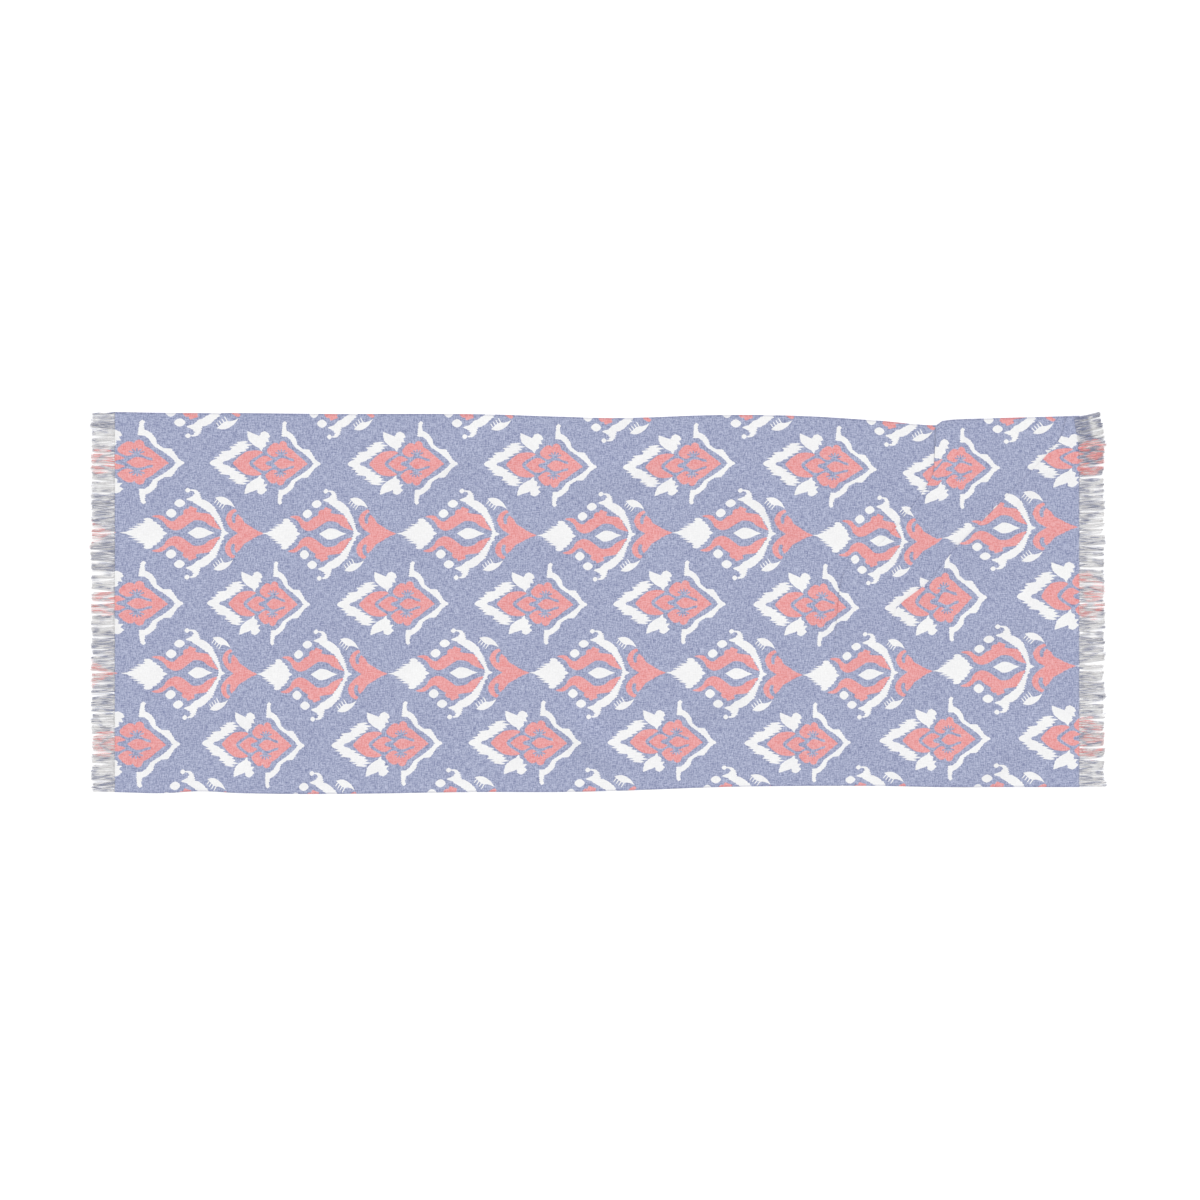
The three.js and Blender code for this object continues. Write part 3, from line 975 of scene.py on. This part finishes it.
# How much the clumps and threads differ: spreads of lean in degrees and of bow and length in millimetres,
# how far threads rise, gather, fan out, wander and lie on each other, and how high their roots lie
LEAN_SPREAD = 1.6
BOW_SPREAD = 0.7
LENGTH_SPREAD = 1.2
RISE = (0.6, 2.0)
GATHER = (0.15, 0.5)
FAN_OUT = 1.1
WANDER = 0.6
WANDER_WAVES = (1, 2.2)
STACK = 0.9
ROOT_OVERLAP = 1
ROOT_HEIGHT = 0.5
ROOT_DROP = 0.3
LEAST_HEIGHT = 0.02

# How the dye took along each thread: how much it follows the end's share, what it must pass, its contrast
# and the pitch of its waves
DYE_TAKEN = 2.4
DYE_START = 0.9
DYE_CONTRAST = 1.2
DYE_WAVES = (0.5, 1.3)

# The two ends. lean is in degrees; taken is how much of the print the threads keep; crowd is how many
# times the usual number of threads a clump has; short is how much shorter they are; inset is how far in
# over the cloth they start. Strays are ink on threads that have slipped out of their places.
ENDS = [
    dict(
        name="threads_left", node="fringe_left", stretch=0, end=0, outward=-1, length=41.5, seed=21,
        strays=[],
        rows=table(
            "across lean taken crowd short inset",
            (-342, -1, 0.55, 1, 0, 0),
            (342, 0, 0.55, 1, 0, 0),
        ),
    ),
    dict(
        name="threads_right", node="fringe_right", stretch=2, end=LAID_LENGTH, outward=1, length=45,
        seed=22,
        strays=[
            ("white", [(1751, 338), (1760, 337), (1767, 313), (1790, 314), (1790, 296), (1763, 297)]),
        ],
        rows=table(
            "across lean taken crowd short inset",
            (-342, 0, 0.5, 1, 0, 0),
            (90, 1, 0.5, 1, 0, 0),
            (215, 3, 0.55, 1, 0, 0),
            (235, 5, 0.8, 1.3, 0, 0),
            (290, 9, 0.85, 1.6, 0, 2),
            (320, 11, 0.85, 1.8, 5, 7),
            (342, 13, 0.85, 2, 13, 10),
        ),
    ),
]


def end_chart(chart, spec):
    """The print near one end, where its outlines lie beyond the cloth's edge."""
    placed = []
    for ink, outline in chart:
        if np.abs(outline[:, 0].mean() - spec["end"]) < NEAR_END:
            laid = printed_place(outline, spec["stretch"])
            if spec["stretch"]:
                laid[:, 0] -= taken_in(np.clip(laid[:, 1], -HALF_WIDTH, HALF_WIDTH))
            placed.append((ink, laid))
    return placed + [(ink, np.array(outline, float)) for ink, outline in spec["strays"]]


def clumps_of(spec, draw):
    """Where each clump stands, and how it leans, lifts and gathers."""
    low = float(look_up(EDGES, "along", "lower", spec["end"]))
    high = float(look_up(EDGES, "along", "upper", spec["end"]))
    pitch = (high - low) / CLUMPS
    for number in range(CLUMPS):
        middle = low + (number + 0.5) * pitch
        place = {key: float(look_up(spec["rows"], "across", key, middle))
                 for key in ("lean", "taken", "crowd", "short", "inset")}
        calm = 1 / place["crowd"]
        across = np.array([((middle - low) / (high - low) - 0.5) * CLOTH_WIDTH])
        taken_up = taken_in(across) if spec["stretch"] else 0
        lean = place["lean"] + draw.gauss(0, LEAN_SPREAD) * calm
        bow = draw.gauss(0, BOW_SPREAD) * calm
        length = spec["length"] - place["short"] + draw.gauss(0, LENGTH_SPREAD)
        rise = draw.uniform(*RISE)
        gather = draw.uniform(*GATHER) * calm
        edge = drape(spec["end"] + taken_up, across)[0, 2]
        yield dict(place, middle=middle, pitch=pitch, low=low, high=high, edge=edge, lean=lean, bow=bow,
                   length=length, rise=rise, gather=gather)


def thread_path(spec, draw, root, clump):
    """Middle line of one thread: from the cloth's edge into its clump and on to its own tip."""
    share = np.linspace(0, 1, THREAD_RINGS)
    loose = LOOSE_SHARE if draw.random() < LOOSE_SHARE else 1
    length = clump["length"] + draw.gauss(0, LENGTH_SPREAD)
    gather = clump["gather"] * loose * np.sin(np.minimum(share * 1.5, 1) * math.pi / 2)
    fan_out = draw.uniform(-1, 1) * FAN_OUT * share**2
    wander = draw.uniform(-WANDER, WANDER) * np.sin(share * math.pi * draw.uniform(*WANDER_WAVES))
    lean = math.tan(math.radians(clump["lean"]))
    distance = share * (length + clump["inset"]) - ROOT_OVERLAP - clump["inset"]
    inwards = (clump["middle"] - root) * gather
    y = root + inwards + lean * distance + fan_out + wander + clump["bow"] * share**2
    over = clump["edge"] + min(clump["inset"], 1) * THREAD_RADIUS - ROOT_DROP
    lift = clump["rise"] * np.sin(share * math.pi * 0.9)
    lift = lift + draw.uniform(0, STACK) * np.minimum(share * 4, 1)
    z = ROOT_HEIGHT + over * (1 - share) ** 2 + lift
    return np.stack([spec["end"] + spec["outward"] * distance, y, z], axis=1)


def tube(path, radius):
    """Rings of a thin tube along a path that runs mostly along X."""
    angles = np.arange(THREAD_SIDES) * 2 * math.pi / THREAD_SIDES + math.pi / 4
    ring = np.stack([np.zeros(THREAD_SIDES), np.cos(angles), np.sin(angles)], axis=1)
    taper = np.linspace(1, THREAD_TAPER, len(path))
    return (path[:, None, :] + ring[None] * (radius * taper)[:, None, None]).reshape(-1, 3)


def tube_faces(first, rings, outward):
    """A tube's faces, with its two ends closed, from the number of its first point."""
    faces = []
    for k in range(rings - 1):
        for side in range(THREAD_SIDES):
            a = first + k * THREAD_SIDES + side
            b = first + k * THREAD_SIDES + (side + 1) % THREAD_SIDES
            face = (a, b, b + THREAD_SIDES, a + THREAD_SIDES)
            faces.append(face if outward < 0 else face[::-1])
    start = tuple(range(first, first + THREAD_SIDES))
    finish = tuple(i + (rings - 1) * THREAD_SIDES for i in start)
    caps = (start[::-1], finish) if outward > 0 else (start, finish[::-1])
    return faces + list(caps)


def make_fringe(spec, chart, shift):
    """All the threads of one end, as one joined mesh, each with the print's ink where it was dyed."""
    draw = random.Random(spec["seed"])
    paths = []
    marks = []
    bare = []
    for clump in clumps_of(spec, draw):
        for _ in range(round(THREADS_IN_CLUMP * clump["crowd"])):
            root = clump["middle"] + (draw.random() - 0.5) * clump["pitch"]
            path = thread_path(spec, draw, root, clump)
            across = ((root - clump["low"]) / (clump["high"] - clump["low"]) - 0.5) * CLOTH_WIDTH
            first = draw.uniform(0, 2 * math.pi)
            wave = np.sin(first + np.arange(THREAD_RINGS) * draw.uniform(*DYE_WAVES))
            dyed = smooth((wave + DYE_TAKEN * clump["taken"] - DYE_START) * DYE_CONTRAST)
            paths.append(path)
            marks.append(np.stack([path[:, 0], np.full(THREAD_RINGS, across)], axis=1))
            bare.append(1 - dyed)
    places = []
    faces = []
    for path in paths:
        faces += tube_faces(len(places) * THREAD_SIDES * THREAD_RINGS, THREAD_RINGS, spec["outward"])
        places.append(tube(path, THREAD_RADIUS * draw.uniform(*THREAD_THICKNESS)))
    places = np.concatenate(places)
    places[:, 2] = np.maximum(places[:, 2], LEAST_HEIGHT)
    fringe = new_object(spec["name"], (places + shift) * MM, faces)
    mesh = fringe.data
    ink = ink_at(np.concatenate(marks), end_chart(chart, spec))
    tone = np.stack([ink == 1, ink == 2, np.concatenate(bare), np.ones(len(ink))], axis=1)
    by_point = np.repeat(tone, THREAD_SIDES, axis=0)
    corners = corner_points(mesh)
    add_corner_data(mesh, "ink", by_point[corners])
    thread = corners // (THREAD_SIDES * THREAD_RINGS)
    ring = corners // THREAD_SIDES % THREAD_RINGS
    side = corners % THREAD_SIDES
    step = spec["length"] / (THREAD_RINGS - 1)
    add_map(mesh, "weave", np.stack([ring * step, thread + side * THREAD_TURN], axis=1) * MM)
    mesh.shade_smooth()
    return fringe


def thread_material():
    """Loose thread: the print's ink where it took, and creamy white where it didn't."""
    shading = Shading("fringe_thread")
    shading.shader.inputs["Specular IOR Level"].default_value = 0.15
    shading.shader.inputs["Sheen Weight"].default_value = SHEEN
    shading.shader.inputs["Roughness"].default_value = THREAD_ROUGHNESS
    place = shading.add("ShaderNodeUVMap", dict(uv_map="weave")).outputs["UV"]
    colour, parts = shading.inks(THREAD_GROUND, THREAD_CORAL, WHITE["mean"])
    colour = shading.mix(parts.outputs["Blue"], colour, BARE_THREAD)
    fleck = shading.span(shading.noise(place, FLECKS), FLECK_RANGE, 0, 1)
    tint = shading.mix(fleck, FLECK_DARK, FLECK_LIGHT)
    colour = shading.mix(1.0, colour, tint, kind="MULTIPLY")
    shading.link(colour, shading.shader.inputs["Base Color"])
    shading.relief(shading.yarns(place, TWIST["turn"], TWIST), TWIST)
    return shading.material


# The stage: camera, table and light. The photograph is a square of this many millimetres, and its
# middle lies this far along and across from the origin. The camera's height and the table are in metres.
VIEW_SIDE = 2160
VIEW_MIDDLE = (1.9, 5.1)
CAMERA_HEIGHT = 9.0
SENSOR = 36.0
SKY_LIGHT = 0.85
LAMP_LIGHT = 1.95
LAMP_PLACE = (0.5, 1.3, 1.4)
LAMP_SOFTNESS = 25
TABLE_SIDE = 8.0
TABLE_GAP = 0.0002


def make_camera():
    """The camera, straight above, with a view as wide as the photograph's."""
    data = bpy.data.cameras.new("camera")
    data.sensor_width = SENSOR
    data.lens = SENSOR * CAMERA_HEIGHT / (VIEW_SIDE * MM)
    data.clip_end = 100
    camera = bpy.data.objects.new("camera", data)
    camera.location = (VIEW_MIDDLE[0] * MM, VIEW_MIDDLE[1] * MM, CAMERA_HEIGHT)
    bpy.context.scene.collection.objects.link(camera)
    bpy.context.scene.camera = camera


def make_table():
    """The pale table top, just under the cloth."""
    corners = np.array([(-1, -1, 0), (1, -1, 0), (1, 1, 0), (-1, 1, 0)]) * TABLE_SIDE / 2
    top = new_object("table", corners - (0, 0, TABLE_GAP), [(0, 1, 2, 3)])
    material = bpy.data.materials.new("table_top")
    material.use_nodes = True
    shader = material.node_tree.nodes["Principled BSDF"]
    shader.inputs["Base Color"].default_value = (0.95, 0.95, 0.955, 1)
    shader.inputs["Roughness"].default_value = 0.9
    shader.inputs["Specular IOR Level"].default_value = 0.1
    top.data.materials.append(material)


def make_light():
    """An even white sky and one soft lamp."""
    world = bpy.data.worlds.new("soft_light")
    world.use_nodes = True
    world.node_tree.nodes["Background"].inputs["Color"].default_value = (1, 1, 1, 1)
    world.node_tree.nodes["Background"].inputs["Strength"].default_value = SKY_LIGHT
    bpy.context.scene.world = world
    data = bpy.data.lights.new("soft_box", "SUN")
    data.angle = math.radians(LAMP_SOFTNESS)
    data.energy = LAMP_LIGHT
    lamp = bpy.data.objects.new("soft_box", data)
    lamp.rotation_euler = Vector(LAMP_PLACE).to_track_quat("Z", "Y").to_euler()
    bpy.context.scene.collection.objects.link(lamp)
    bpy.context.scene.view_settings.view_transform = "Standard"


def shift_to_frame():
    """From the tables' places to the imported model's: left ends and the middles of the widths agree."""
    low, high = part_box("cloth")
    along = np.linspace(0, LAID_LENGTH, EDGE_SAMPLES)
    lower = look_up(EDGES, "along", "lower", along).min()
    upper = look_up(EDGES, "along", "upper", along).max()
    return np.array([low[0] / MM, (low[1] + high[1]) / 2 / MM - (lower + upper) / 2, 0])


def dress():
    """The cloth and its two fringes, each in place of its solid."""
    shift = shift_to_frame()
    chart = print_chart()
    cloth = make_cloth(chart, shift)
    cloth.data.materials.append(cloth_material())
    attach(cloth, "root")
    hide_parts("cloth")
    thread = thread_material()
    for spec in ENDS:
        fringe = make_fringe(spec, chart, shift)
        fringe.data.materials.append(thread)
        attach(fringe, "root")
        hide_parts(spec["node"])


make_camera()
make_table()
make_light()
dress()
